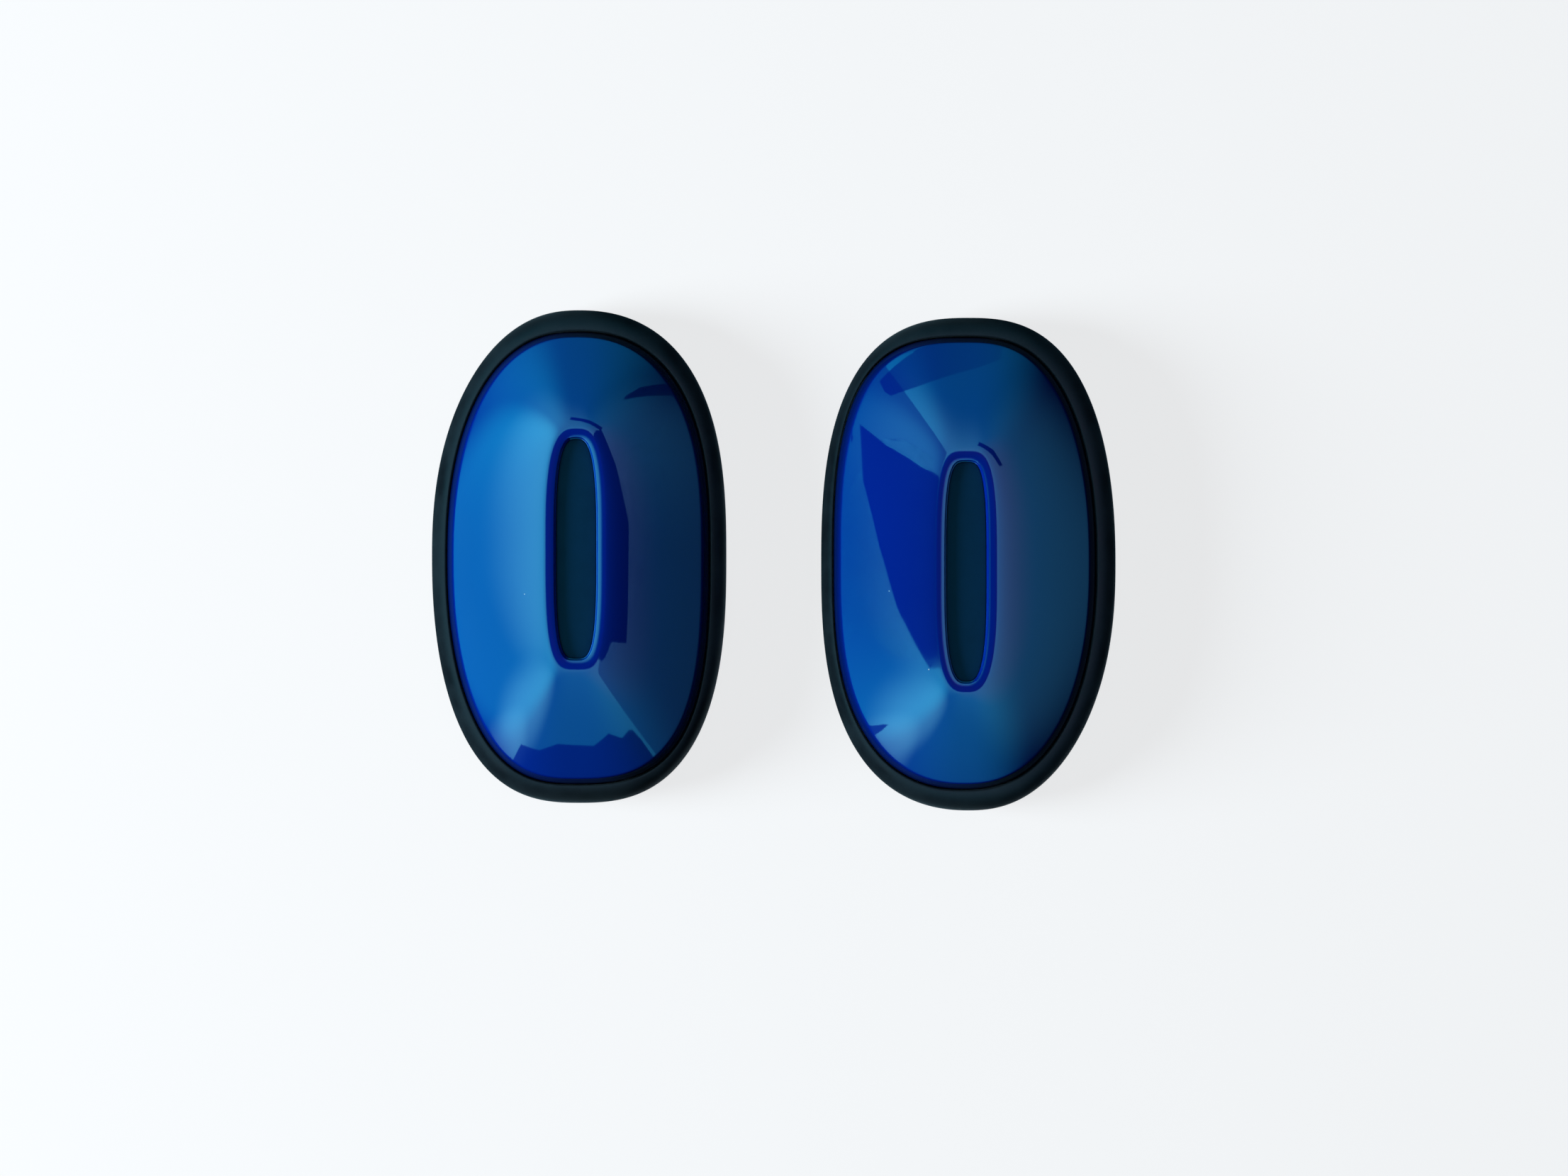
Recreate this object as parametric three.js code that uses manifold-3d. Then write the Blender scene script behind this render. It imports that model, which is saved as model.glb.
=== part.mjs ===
// A magnetic glass cleaner: two domed halves that hold each other through an aquarium wall.
// The outer half is dry and is moved by hand. The inner half is wet, follows it, and floats.
// Both lie side by side on their pads. Units are millimetres and +Z is up.
// The origin is on the resting plane, midway between the two halves.

import * as THREE from 'three';
import { LoftGeometry } from 'three/addons/geometries/LoftGeometry.js';
import { mergeVertices } from 'three/addons/utils/BufferGeometryUtils.js';
import Module from 'manifold-3d';

const wasm = await Module();
wasm.setup();

// Overall size of one half
const halfWidth = 38.85; // outside of the rubber bumper, from the middle
const halfLength = 65;
const crestHeight = 29; // top of the dome above the resting plane

// Where the halves lie
const spacing = 102.7; // between their middles, across
const stagger = 2; // between their middles, lengthwise
// The rubber bumper is stretched on by hand and sits a little off the middle of its cap.
const rimShift = {
	outer: { x: 0, y: 0.4 },
	inner: { x: -1.25, y: 0.2 },
};

// The glossy cap, as seen from above
const capHalfWidth = 34.3;
const capHalfLength = 59.2;
const bandInset = { across: 1.7, along: 1.5 }; // the steep band around the dome
// Squareness of an outline: its mean, from 2 for an ellipse upwards, and how much it grows
// towards the other half (across), towards the slimmer end (along) and between those (twist).
const capSquareness = { mean: 2.55, across: 0.25, along: -0.19, twist: -0.06 };
const bumperSquareness = { mean: 2.45, across: 0.17, along: -0.15, twist: 0.04 };

// The slot in the crest
const slotHalfWidth = 5.6;
const slotHalfLength = 28.9;
const slotShift = 2.3; // from the middle towards the slimmer end
const slotSquareness = { mean: 2.95, across: 0, along: -0.35, twist: 0 };
const slotRound = { across: 3, down: 2 }; // how the crest rolls over into the slot
const slotDepth = 3.4;

// Heights above the resting plane
const padThickness = 2.6;
const sheetBottom = 2.7;
const sheetThickness = 0.6;
const baseBottom = 3.4;
const floorThickness = 2;
const baseTop = 12.4;
const lipBottom = 13.4;
const bandBottom = 15;
const bandTop = 19.5;

// Walls and clearances
const coverWall = 2.2;
const domeWall = 2.4; // measured straight down
const baseWall = 2;
const clearance = 0.35;

// Magnets, keeper plate and foam
const magnetSize = { x: 40, y: 36, z: 8 };
const magnetMiddle = 20; // from the middle of the half, lengthwise
const magnetBottom = baseBottom + floorThickness + 0.1;
const keeperSize = { x: 42, y: 80, z: 1.6 };
const keeperBottom = magnetBottom + magnetSize.z + 0.1;
const foamBottom = keeperBottom + keeperSize.z + 0.2;
const spacerSize = { x: 26, y: 60, z: 7.8 };
const floatSize = { x: 34, y: 35, z: 6 };
const ribThickness = 1.6;

// Screws of the dry half
const screwPlaces = [[12, 47.5], [-12, 47.5], [-12, -47.5], [12, -47.5]];
const postRadius = 3.1;
const postGap = 0.3; // between a base post and the cover boss above it
const holeRadius = 1.6;
const shankRadius = 1.3;
const screwHead = { radius: 2.5, height: 1.5, recessRadius: 2.9, recessDepth: 2.1 };
const screwTop = 18;

const ringSegments = 48;
const domeSteps = 6;
const roundSteps = 3;
const screwSegments = 16;

const looks = {
	cover: new THREE.MeshStandardMaterial({ color: 0x0b3aa0, roughness: 0.12, metalness: 0 }),
	insert: new THREE.MeshStandardMaterial({ color: 0x0a2744, roughness: 0.6, metalness: 0 }),
	bumper: new THREE.MeshStandardMaterial({ color: 0x0b1318, roughness: 0.7, metalness: 0 }),
	base: new THREE.MeshStandardMaterial({ color: 0x15171a, roughness: 0.5, metalness: 0 }),
	magnet: new THREE.MeshStandardMaterial({ color: 0x4a4a4c, roughness: 0.5, metalness: 0.8 }),
	steel: new THREE.MeshStandardMaterial({ color: 0x9a9da1, roughness: 0.35, metalness: 1 }),
	foam: new THREE.MeshStandardMaterial({ color: 0xd8d8d2, roughness: 0.95, metalness: 0 }),
	seal: new THREE.MeshStandardMaterial({ color: 0xb04030, roughness: 0.6, metalness: 0 }),
	sheet: new THREE.MeshStandardMaterial({ color: 0x202225, roughness: 0.8, metalness: 0 }),
	felt: new THREE.MeshStandardMaterial({ color: 0x1a1b1d, roughness: 1, metalness: 0 }),
	scrub: new THREE.MeshStandardMaterial({ color: 0x1d2023, roughness: 1, metalness: 0 }),
};

function mix(from, to, share) {
	return from + (to - from) * share;
}

function mixSquareness(from, to, share) {
	const mixed = {};
	for (const key of Object.keys(from)) mixed[key] = mix(from[key], to[key], share);
	return mixed;
}

// One level outline, counterclockwise from above: a superellipse whose squareness varies round it.
function ring({ width, length, z, squareness = capSquareness, shiftX = 0, shiftY = 0 }) {
	const points = [];
	for (let i = 0; i < ringSegments; i++) {
		const turn = (i / ringSegments) * 2 * Math.PI;
		const across = Math.cos(turn);
		const along = Math.sin(turn);
		const power = squareness.mean + squareness.across * across + squareness.along * along
			+ squareness.twist * 2 * across * along;
		const reach = (Math.abs(across) ** power + Math.abs(along) ** power) ** (-1 / power);
		const x = shiftX + width * across * reach;
		const y = shiftY + length * along * reach;
		points.push(new THREE.Vector3(x, y, z));
	}
	return points;
}

// A ring inset evenly from the cap's outline.
function capRing(inset, z) {
	return ring({ width: capHalfWidth - inset, length: capHalfLength - inset, z });
}

function slotRing(outset, z) {
	return ring({
		width: slotHalfWidth + outset,
		length: slotHalfLength + outset,
		squareness: slotSquareness,
		shiftY: slotShift,
		z,
	});
}

// How far up the dome has risen, from 0 at the band to 1 at the crest.
function domeRise(share) {
	const steepness = 1.35;
	return 1 - (1 - share) ** steepness;
}

// A ring part of the way from the band to the crest, sunk below the outer surface.
function domeRing(share, inset, sunk) {
	const fromWidth = capHalfWidth - bandInset.across - inset;
	const fromLength = capHalfLength - bandInset.along - inset;
	return ring({
		width: mix(fromWidth, slotHalfWidth + slotRound.across, share),
		length: mix(fromLength, slotHalfLength + slotRound.across, share),
		squareness: mixSquareness(capSquareness, slotSquareness, share),
		shiftY: slotShift * share,
		z: bandTop + (crestHeight - bandTop) * domeRise(share) - sunk,
	});
}

// Only the places of the corners, with shared corners merged.
function positionsOnly(geometry) {
	const bare = new THREE.BufferGeometry();
	bare.setAttribute('position', geometry.attributes.position);
	bare.setIndex(geometry.index);
	return mergeVertices(bare);
}

// A solid with flat ends, through level rings from the lowest to the highest.
function stackedSolid(rings) {
	return positionsOnly(new LoftGeometry(rings, { capStart: true, capEnd: true }));
}

// A hoop: its rings run up the outside, over the top and back down the inside.
function hoopSolid(rings) {
	return positionsOnly(new LoftGeometry([...rings, rings[0]]));
}

function toSolid(geometry) {
	const bare = positionsOnly(geometry);
	return new wasm.Manifold(new wasm.Mesh({
		numProp: 3,
		vertProperties: new Float32Array(bare.attributes.position.array),
		triVerts: new Uint32Array(bare.index.array),
	}));
}

function toGeometry(solid) {
	const mesh = solid.getMesh();
	const geometry = new THREE.BufferGeometry();
	geometry.setAttribute('position', new THREE.BufferAttribute(mesh.vertProperties, 3));
	geometry.setIndex(new THREE.BufferAttribute(mesh.triVerts, 1));
	geometry.computeVertexNormals();
	return geometry;
}

function box(size, x, y, bottom) {
	const geometry = new THREE.BoxGeometry(size.x, size.y, size.z);
	return geometry.translate(x, y, bottom + size.z / 2);
}

function upright(radius, x, y, bottom, top) {
	const geometry = new THREE.CylinderGeometry(radius, radius, top - bottom, screwSegments);
	return geometry.rotateX(Math.PI / 2).translate(x, y, (bottom + top) / 2);
}

// A block with its four upright edges rounded.
function roundedBlock(size, x, y, bottom, radius) {
	const right = size.x / 2;
	const top = size.y / 2;
	const outline = new THREE.Shape();
	outline.moveTo(right, radius - top);
	outline.lineTo(right, top - radius);
	outline.absarc(right - radius, top - radius, radius, 0, Math.PI / 2);
	outline.lineTo(radius - right, top);
	outline.absarc(radius - right, top - radius, radius, Math.PI / 2, Math.PI);
	outline.lineTo(-right, radius - top);
	outline.absarc(radius - right, radius - top, radius, Math.PI, 1.5 * Math.PI);
	outline.lineTo(right - radius, -top);
	outline.absarc(right - radius, radius - top, radius, 1.5 * Math.PI, 2 * Math.PI);
	const options = { depth: size.z, bevelEnabled: false, curveSegments: roundSteps };
	return positionsOnly(new THREE.ExtrudeGeometry(outline, options).translate(x, y, bottom));
}

// The glossy shell: a steep band, a dome with its crest around the slot, and the wall inside.
function coverShell() {
	const rings = [capRing(0, lipBottom), capRing(0, bandBottom)];
	for (let i = 0; i <= domeSteps; i++) {
		rings.push(domeRing(i / domeSteps, 0, 0));
	}
	for (let i = 1; i <= roundSteps; i++) {
		const turn = (i / roundSteps) * (Math.PI / 2);
		const outset = slotRound.across * (1 - Math.sin(turn));
		rings.push(slotRing(outset, crestHeight - slotRound.down * (1 - Math.cos(turn))));
	}
	rings.push(slotRing(0, crestHeight - slotDepth));
	for (let i = domeSteps; i >= 0; i -= 2) {
		rings.push(domeRing(i / domeSteps, coverWall / 2, domeWall));
	}
	rings.push(capRing(coverWall, bandBottom));
	rings.push(capRing(coverWall, lipBottom));
	return hoopSolid(rings);
}

// The height of the shell's inner surface straight above a point, by the nearest ellipse.
function ceilingAbove(x, y) {
	const step = 0.005;
	const isInside = (share) => {
		const width = mix(capHalfWidth, slotHalfWidth + slotRound.across, share);
		const length = mix(capHalfLength, slotHalfLength + slotRound.across, share);
		return Math.hypot(x / width, (y - slotShift * share) / length) < 1;
	};
	let share = 0;
	while (share < 1 && isInside(share)) share += step;
	return bandTop + (crestHeight - bandTop) * domeRise(share) - domeWall;
}

// The dry half's shell has a blind boss over each screw.
function screwedCoverShell() {
	let solid = toSolid(coverShell());
	const bossBottom = baseTop + postGap;
	const blindTop = screwTop + 1;
	for (const [x, y] of screwPlaces) {
		const outermost = 1 + postRadius / Math.hypot(x, y);
		const bossTop = ceilingAbove(x * outermost, y * outermost) + domeWall / 2;
		const boss = toSolid(upright(postRadius, x, y, bossBottom, bossTop));
		const hole = toSolid(upright(holeRadius, x, y, bossBottom - 1, blindTop));
		solid = solid.add(boss.subtract(hole));
	}
	return toGeometry(solid);
}

// The matte insert in the slot, held from below by its flange.
function gripInsert() {
	const flangeReach = 1.6;
	const flangeTop = crestHeight - slotDepth - clearance;
	const flangeBottom = flangeTop - 1.3;
	const faceHeight = crestHeight - 1.9;
	return stackedSolid([
		slotRing(flangeReach, flangeBottom),
		slotRing(flangeReach, flangeTop),
		slotRing(-clearance, flangeTop),
		slotRing(-clearance, faceHeight - 0.5),
		slotRing(-clearance - 0.5, faceHeight - 0.1),
		slotRing(-clearance - 2, faceHeight),
	]);
}

// The rubber bumper: a bulging outer face that leans in to meet the cap.
function bumperHoop(shift) {
	const innerWidth = capHalfWidth + clearance;
	const innerLength = capHalfLength + clearance;
	const widest = 7.4;
	const top = bandBottom - 0.2;
	const underReach = 0.62;
	const faceSteps = 5;
	const bumperRing = (share, z) => ring({
		width: mix(innerWidth, halfWidth, share),
		length: mix(innerLength, halfLength, share),
		squareness: mixSquareness(capSquareness, bumperSquareness, share),
		shiftX: shift.x * share,
		shiftY: shift.y * share,
		z,
	});
	const rings = [bumperRing(underReach, baseBottom), bumperRing(0.95, 5)];
	for (let i = 0; i < faceSteps; i++) {
		const turn = (i / faceSteps) * (Math.PI / 2);
		rings.push(bumperRing(Math.cos(turn), widest + (top - widest) * Math.sin(turn)));
	}
	rings.push(bumperRing(0.08, top));
	rings.push(bumperRing(0, top - 0.3));
	rings.push(bumperRing(0, baseBottom));
	return hoopSolid(rings);
}

// The tray under the cover, with a rib between the two magnets.
function baseTray() {
	const outside = stackedSolid([capRing(clearance, baseBottom), capRing(clearance, baseTop)]);
	const floorTop = baseBottom + floorThickness;
	const inset = clearance + baseWall;
	const inside = stackedSolid([capRing(inset, floorTop), capRing(inset, baseTop + 1)]);
	const ribSize = { x: magnetSize.x, y: ribThickness, z: baseTop - floorTop };
	const rib = box(ribSize, 0, 0, floorTop - 0.5);
	return toSolid(outside).subtract(toSolid(inside)).add(toSolid(rib));
}

// The dry half's tray also has a post and a sunk seat for each screw.
function screwedBaseTray() {
	let solid = baseTray();
	for (const [x, y] of screwPlaces) {
		const post = toSolid(upright(postRadius + 0.6, x, y, baseBottom + 1, baseTop));
		const hole = toSolid(upright(holeRadius, x, y, baseBottom - 1, baseTop + 1));
		const seatTop = baseBottom + screwHead.recessDepth;
		const seat = toSolid(upright(screwHead.recessRadius, x, y, baseBottom - 1, seatTop));
		solid = solid.add(post).subtract(hole).subtract(seat);
	}
	return toGeometry(solid);
}

// A pan-head screw with a cross recess, head down.
function screw() {
	const headBottom = baseBottom + 0.3;
	const headTop = headBottom + screwHead.height;
	const tipLength = 1.5;
	const profile = [
		new THREE.Vector2(0, headBottom),
		new THREE.Vector2(screwHead.radius - 0.5, headBottom),
		new THREE.Vector2(screwHead.radius, headBottom + 0.6),
		new THREE.Vector2(screwHead.radius, headTop),
		new THREE.Vector2(shankRadius, headTop),
		new THREE.Vector2(shankRadius, screwTop - tipLength),
		new THREE.Vector2(0, screwTop),
	];
	const body = toSolid(new THREE.LatheGeometry(profile, screwSegments).rotateX(Math.PI / 2));
	const recess = { long: 2.6, wide: 0.6, deep: 0.8 };
	const cut = (x, y) => toSolid(box({ x, y, z: recess.deep * 2 }, 0, 0, headBottom - recess.deep));
	const solid = body.subtract(cut(recess.long, recess.wide)).subtract(cut(recess.wide, recess.long));
	return toGeometry(solid);
}

function sealRing() {
	const bottom = baseTop + 0.1;
	const top = lipBottom - 0.1;
	const outer = clearance;
	const inner = clearance + 1.5;
	return hoopSolid([
		capRing(outer, bottom),
		capRing(outer, top),
		capRing(inner, top),
		capRing(inner, bottom),
	]);
}

// A thin sheet between the base and its pad.
function backingSheet(inset) {
	return stackedSolid([capRing(inset, sheetBottom), capRing(inset, sheetBottom + sheetThickness)]);
}

// A pad with softened edges, reaching a little beyond the cap.
function padSolid(reach, softness) {
	return stackedSolid([
		capRing(softness - reach, 0),
		capRing(-reach, softness),
		capRing(-reach, padThickness - softness),
		capRing(softness - reach, padThickness),
	]);
}

function piece(name, geometry, material) {
	const mesh = new THREE.Mesh(geometry, material);
	mesh.name = name;
	return mesh;
}

// What both halves share: insert, bumper, two magnets and the keeper plate.
function commonPieces(prefix, shift) {
	const magnetRadius = 1;
	const pieces = [
		piece(`${prefix}_grip_insert`, gripInsert(), looks.insert),
		piece(`${prefix}_bumper`, bumperHoop(shift), looks.bumper),
	];
	for (const [end, y] of [['front', -magnetMiddle], ['rear', magnetMiddle]]) {
		const block = roundedBlock(magnetSize, 0, y, magnetBottom, magnetRadius);
		pieces.push(piece(`${prefix}_magnet_${end}`, block, looks.magnet));
	}
	const plate = roundedBlock(keeperSize, 0, 0, keeperBottom, magnetRadius * 2);
	pieces.push(piece(`${prefix}_keeper_plate`, plate, looks.steel));
	return pieces;
}

function outerHalf() {
	const half = new THREE.Group();
	half.add(...commonPieces('outer', rimShift.outer));
	half.add(piece('outer_cover', screwedCoverShell(), looks.cover));
	half.add(piece('outer_base', screwedBaseTray(), looks.base));
	half.add(piece('outer_foam_spacer', roundedBlock(spacerSize, 0, 0, foamBottom, 2), looks.foam));
	screwPlaces.forEach(([x, y], i) => {
		const mesh = piece(`outer_screw_${i + 1}`, screw(), looks.steel);
		mesh.position.set(x, y, 0);
		half.add(mesh);
	});
	half.add(piece('outer_pad_adhesive', backingSheet(1), looks.sheet));
	half.add(piece('outer_felt_pad', padSolid(1.4, 0.4), looks.felt));
	half.position.set(-spacing / 2 - rimShift.outer.x, stagger / 2 - rimShift.outer.y, 0);
	return half;
}

// The same moulding turned half a turn, with foam floats, a seal and a pad that peels off.
function innerHalf() {
	const half = new THREE.Group();
	half.add(...commonPieces('inner', rimShift.inner));
	half.add(piece('inner_cover', coverShell(), looks.cover));
	half.add(piece('inner_base', toGeometry(baseTray()), looks.base));
	half.add(piece('inner_seal_ring', sealRing(), looks.seal));
	for (const [end, y] of [['front', -magnetMiddle], ['rear', magnetMiddle]]) {
		const block = roundedBlock(floatSize, 0, y, foamBottom, 2);
		half.add(piece(`inner_float_${end}`, block, looks.foam));
	}
	half.add(piece('inner_hook_sheet', backingSheet(0.6), looks.sheet));
	half.add(piece('inner_scrub_pad', padSolid(1.7, 0.5), looks.scrub));
	half.position.set(spacing / 2 + rimShift.inner.x, -stagger / 2 + rimShift.inner.y, 0);
	half.rotation.z = Math.PI;
	return half;
}

const group = new THREE.Group();
group.add(outerHalf(), innerHalf());
export default group;
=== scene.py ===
import math

import bmesh
import bpy
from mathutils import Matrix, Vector


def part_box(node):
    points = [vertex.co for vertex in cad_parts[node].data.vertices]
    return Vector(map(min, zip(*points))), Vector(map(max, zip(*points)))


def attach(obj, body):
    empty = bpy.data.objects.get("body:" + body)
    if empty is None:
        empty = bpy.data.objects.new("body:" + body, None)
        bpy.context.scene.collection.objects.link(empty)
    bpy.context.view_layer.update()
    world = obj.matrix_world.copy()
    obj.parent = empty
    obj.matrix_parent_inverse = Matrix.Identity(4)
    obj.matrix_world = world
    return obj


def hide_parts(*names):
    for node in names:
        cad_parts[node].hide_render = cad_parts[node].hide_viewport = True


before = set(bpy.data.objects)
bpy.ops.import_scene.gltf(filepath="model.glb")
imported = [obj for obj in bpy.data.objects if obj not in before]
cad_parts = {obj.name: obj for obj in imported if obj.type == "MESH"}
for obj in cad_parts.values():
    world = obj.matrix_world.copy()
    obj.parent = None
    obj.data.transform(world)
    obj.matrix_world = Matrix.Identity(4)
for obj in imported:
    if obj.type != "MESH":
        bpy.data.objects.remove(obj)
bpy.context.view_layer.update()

mm = 0.001

# The two halves: the inner one is the same moulding, turned half a turn.
# rimShift is how far each rubber rim sits off the middle of its cap, across and along.
halves = {
    "outer": {"body": "outer_half", "turn": 0.0, "rimShift": (0.0, 0.4 * mm, 0.0)},
    "inner": {"body": "inner_half", "turn": math.pi, "rimShift": (-1.25 * mm, 0.2 * mm, 0.0)},
}
for prefix, half in halves.items():
    low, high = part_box(prefix + "_cover")
    half["place"] = Vector(((low.x + high.x) / 2, (low.y + high.y) / 2, 0))
capLow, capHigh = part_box("inner_cover")
capWidth = (capHigh.x - capLow.x) / 2  # widths and lengths are halves, from the middle
capLength = (capHigh.y - capLow.y) / 2
lipBottom, crest = capLow.z, capHigh.z

# How square an outline is: mean, then how much that grows across and along, and the twist.
capSquareness = (2.55, 0.25, -0.19)
capTwist = -0.06
slotSquareness = (3.3, 0.0, -0.35)
rimSquareness = (2.45, 0.17, -0.15)
rimTwist = 0.04

cameraSettings = {
    "sensor": 36,  # millimetres
    "distance": 1.314,  # above the level where the rims are widest
    "rimLevel": 7.4 * mm,
    "across": 0.4138,  # what the frame shows across at that level
    "over": (2.7 * mm, -7.3 * mm),
}


def makeCamera(settings):
    data = bpy.data.cameras.new("camera")
    data.sensor_width = settings["sensor"]
    data.lens = data.sensor_width * settings["distance"] / settings["across"]
    camera = bpy.data.objects.new("camera", data)
    camera.location = (*settings["over"], settings["distance"] + settings["rimLevel"])
    bpy.context.collection.objects.link(camera)
    bpy.context.scene.camera = camera


makeCamera(cameraSettings)


# Colours are sRGB hex and become linear here.
def linear(code):
    channels = [int(code[i:i + 2], 16) / 255 for i in (1, 3, 5)]
    return tuple(c / 12.92 if c <= 0.04045 else ((c + 0.055) / 1.055) ** 2.4 for c in channels)


def opaque(code):
    return (*linear(code), 1.0)


# Adds a node: settings are its own properties or its inputs' values, and links go into its inputs.
def addNode(tree, kind, settings=None, links=None):
    node = tree.nodes.new(kind)
    for key, value in (settings or {}).items():
        if isinstance(key, int) or key in node.inputs:
            node.inputs[key].default_value = value
        else:
            setattr(node, key, value)
    for key, socket in (links or {}).items():
        tree.links.new(socket, node.inputs[key])
    return node


# What the gloss mirrors: soft bright patches of a dark room, which light nothing themselves.
# azimuth turns from +X towards +Y, zenith is down from straight overhead, all in degrees.
room = {"dim": 0.02, "dimColour": "#5f9bc0", "backdrop": "#f6f7f8",
        "floor": "#8d8f90", "floorSize": 6.0, "floorRough": 0.9, "floorGlow": 0.84}
patches = {
    "window": {"azimuth": 185, "zenith": 42, "full": 20, "fades": 34,
               "radiance": 2.9, "colour": "#58f4ff"},
    "windowEdge": {"azimuth": 165, "zenith": 36, "full": 3, "fades": 20,
                   "radiance": 1.8, "colour": "#ffe2dc"},
    "streak": {"azimuth": 221, "zenith": 42, "full": 3, "fades": 20,
               "radiance": 3.4, "colour": "#ffe6e0"},
    "streakLow": {"azimuth": 224, "zenith": 58, "full": 2, "fades": 15,
                  "radiance": 2.6, "colour": "#ffe6e0"},
    "overhead": {"azimuth": 150, "zenith": 21, "full": 2, "fades": 34,
                 "radiance": 2.0, "colour": "#ffe8e0"},
    "farWall": {"azimuth": 100, "zenith": 50, "full": 2, "fades": 56,
                "radiance": 1.2, "colour": "#58e6ff"},
    "nearWall": {"azimuth": 264, "zenith": 30, "full": 2, "fades": 50,
                 "radiance": 1.9, "colour": "#74e2f4"},
    "warmLamp": {"azimuth": 350, "zenith": 18, "full": 4, "fades": 28,
                 "radiance": 1.8, "colour": "#ff3820"},
    "rightWall": {"azimuth": 350, "zenith": 30, "full": 6, "fades": 48,
                  "radiance": 1.45, "colour": "#b4d4ff"},
    "windowFar": {"azimuth": 140, "zenith": 50, "full": 2, "fades": 34,
                  "radiance": 1.7, "colour": "#58f4ff"},
    # less than nothing, so that the camera overhead is dark
    "camera": {"azimuth": 0, "zenith": 0, "full": 6, "fades": 12,
               "radiance": -3.0, "colour": "#ffffff"},
}
# What lights the scene, unseen in the gloss: toLamp is the way to each lamp, and brightness is that of
# white paper facing it. The floor lets light up through it, so the lamp under it shows the pads from below.
lampDistance = 1.6
lamps = {
    "key": {"toLamp": (-1.0, -0.08, 0.41), "size": 0.7, "brightness": 1.42, "colour": "#eef8ff"},
    "under": {"toLamp": (0.3, -0.4, -1.0), "size": 1.2, "brightness": 0.9, "colour": "#f4f6f8"},
    "fill": {"toLamp": (0.05, 0.1, 1.0), "size": 1.2, "brightness": 0.075, "colour": "#e4f2ff"},
}
# Black cards round the halves, as in a product studio: only the gloss sees them, and each from one side.
# A card lies across its axis, at this place along it. Its outline's corners give the other two
# coordinates, and their order sets its black side. fade is where along the first of those coordinates
# it is clear, where it is fullest, and how dark it is there. All in millimetres.
cards = {
    "towardsInner": {"axis": 0, "at": -5, "fade": (-60, -30, 1.0), "outline": (
        (45, 43), (40, 60), (36, 100), (38, 330), (-50, 330), (-42, 115), (-28, 90), (-14, 70),
        (4, 56), (24, 46))},
    "veilTowardsInner": {"axis": 0, "at": -7, "fade": (-75, 10, 0.66), "outline": (
        (95, 30), (95, 330), (-80, 330), (-80, 30))},
    "veilTowardsOuter": {"axis": 0, "at": -15, "fade": (60, 0, 0.55), "outline": (
        (70, 14), (-70, 14), (-70, 160), (70, 160))},
    "towardsOuter": {"axis": 0, "at": -25, "fade": (-100, -99, 1.0), "outline": (
        (28, 58), (10, 47), (-24, 48), (-25, 68), (-34, 84), (-38, 100), (-45, 330), (60, 330), (56, 100),
        (50, 78), (34, 64))},
    "belowOuter": {"axis": 1, "at": -75, "fade": (-120, -87, 0.9), "outline": (
        (-87, 18), (-87, 49), (-71, 47), (-60, 51), (-47, 50), (-38, 58), (-29, 56), (-20, 63),
        (-16, 64), (-14, 56), (-14, 18))},
    "aboveInner": {"axis": 1, "at": 75, "fade": (100, -10, 0.9), "outline": (
        (-5, 56), (12, 47), (30, 38), (40, 18), (66, 18), (66, 41), (46, 50), (20, 60),
        (-8, 70), (-10, 66))},
    "barOverOuter": {"axis": 2, "at": 60, "fade": (-100, -99, 1.0), "outline": (
        (-56, 53.6), (-55, 56), (-43, 52.4), (-31, 46), (-32.8, 43.6), (-43.5, 49))},
    "barOverInner": {"axis": 2, "at": 60, "fade": (-100, -99, 1.0), "outline": (
        (56, 41.2), (57, 44), (70.4, 37.6), (78, 30), (75, 29.2), (68.6, 34.4))},
}


def makeRoom(settings):
    world = bpy.data.worlds.new("studioRoom")
    world.use_nodes = True
    tree = world.node_tree
    tree.nodes.clear()
    direction = addNode(tree, "ShaderNodeTexCoord").outputs["Generated"]
    dim = [c * settings["dim"] for c in linear(settings["dimColour"])]
    total = addNode(tree, "ShaderNodeCombineXYZ", {"X": dim[0], "Y": dim[1], "Z": dim[2]}).outputs[0]
    for patch in patches.values():
        azimuth, zenith = math.radians(patch["azimuth"]), math.radians(patch["zenith"])
        out = math.sin(zenith)
        middle = (out * math.cos(azimuth), out * math.sin(azimuth), math.cos(zenith))
        nearness = addNode(tree, "ShaderNodeVectorMath", {"operation": "DOT_PRODUCT", 1: middle},
                           {0: direction})
        amount = addNode(tree, "ShaderNodeMapRange", {
            "interpolation_type": "SMOOTHSTEP", "From Min": math.cos(math.radians(patch["fades"])),
            "From Max": math.cos(math.radians(patch["full"])), "To Max": patch["radiance"]},
            {"Value": nearness.outputs["Value"]})
        glow = addNode(tree, "ShaderNodeVectorMath", {"operation": "SCALE", 0: linear(patch["colour"])},
                       {"Scale": amount.outputs[0]})
        total = addNode(tree, "ShaderNodeVectorMath", {"operation": "ADD"},
                        {0: total, 1: glow.outputs[0]}).outputs[0]
    total = addNode(tree, "ShaderNodeVectorMath", {"operation": "MAXIMUM"}, {0: total}).outputs[0]
    lit = addNode(tree, "ShaderNodeBackground", None, {"Color": total})
    backdrop = addNode(tree, "ShaderNodeBackground", {"Color": opaque(settings["backdrop"])})
    isCamera = addNode(tree, "ShaderNodeLightPath").outputs["Is Camera Ray"]
    both = addNode(tree, "ShaderNodeMixShader", None,
                   {0: isCamera, 1: lit.outputs[0], 2: backdrop.outputs[0]})
    addNode(tree, "ShaderNodeOutputWorld", None, {"Surface": both.outputs[0]})
    world.cycles_visibility.diffuse = False
    bpy.context.scene.world = world


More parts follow.
